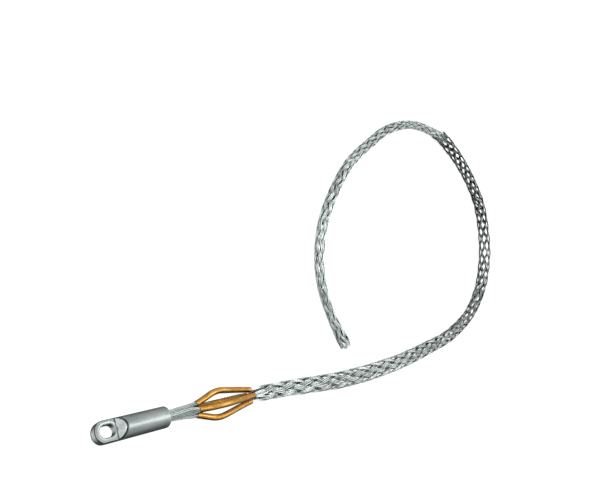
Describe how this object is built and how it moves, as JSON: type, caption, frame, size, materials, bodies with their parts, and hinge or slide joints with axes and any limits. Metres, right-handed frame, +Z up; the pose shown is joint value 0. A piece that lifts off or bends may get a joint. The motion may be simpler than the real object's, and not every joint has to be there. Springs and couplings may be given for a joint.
{
  "type": "cable pulling grip",
  "caption": "Wire mesh cable pulling grip with a steel pulling eye, a bundle of wire ropes spread by bowed brass tubes, and a woven sleeve with an open mouth, lying in a loose loop.",
  "frame": {"origin": "on the surface that the grip lies on, below the middle of its bounding box", "axes": "+X from the pulling eye towards the far side of the loop, +Z up from the surface"},
  "size_m": [0.9021, 0.4095, 0.0327],
  "materials": {
    "galvanised_steel": "satin",
    "tube_brass": "polished",
    "rope_steel": "satin",
    "weave_steel": "satin"
  },
  "bodies": {
    "root": {"pulling_eye": "galvanised_steel", "spreader_tube_1": "tube_brass", "spreader_tube_2": "tube_brass", "spreader_tube_3": "tube_brass", "spreader_tube_4": "tube_brass", "wire_rope_01": "rope_steel", "wire_rope_02": "rope_steel", "wire_rope_03": "rope_steel", "wire_rope_04": "rope_steel", "wire_rope_05": "rope_steel", "wire_rope_06": "rope_steel", "wire_rope_07": "rope_steel", "wire_rope_08": "rope_steel", "wire_rope_09": "rope_steel", "wire_rope_10": "rope_steel", "wire_rope_11": "rope_steel", "wire_rope_12": "rope_steel", "wire_rope_13": "rope_steel", "wire_rope_14": "rope_steel", "wire_rope_15": "rope_steel", "wire_rope_16": "rope_steel", "wire_rope_17": "rope_steel", "wire_rope_18": "rope_steel", "wire_rope_19": "rope_steel", "wire_rope_20": "rope_steel", "wire_rope_21": "rope_steel", "wire_rope_22": "rope_steel", "wire_rope_23": "rope_steel", "wire_rope_24": "rope_steel", "wire_rope_25": "rope_steel", "wire_rope_26": "rope_steel", "wire_rope_27": "rope_steel", "wire_rope_28": "rope_steel", "wire_rope_29": "rope_steel", "wire_rope_30": "rope_steel", "wire_rope_31": "rope_steel", "wire_rope_32": "rope_steel", "wire_rope_33": "rope_steel", "wire_rope_34": "rope_steel", "wire_rope_35": "rope_steel", "wire_rope_36": "rope_steel", "coarse_sleeve": "weave_steel", "fine_sleeve": "weave_steel"}
  },
  "joints": []
}
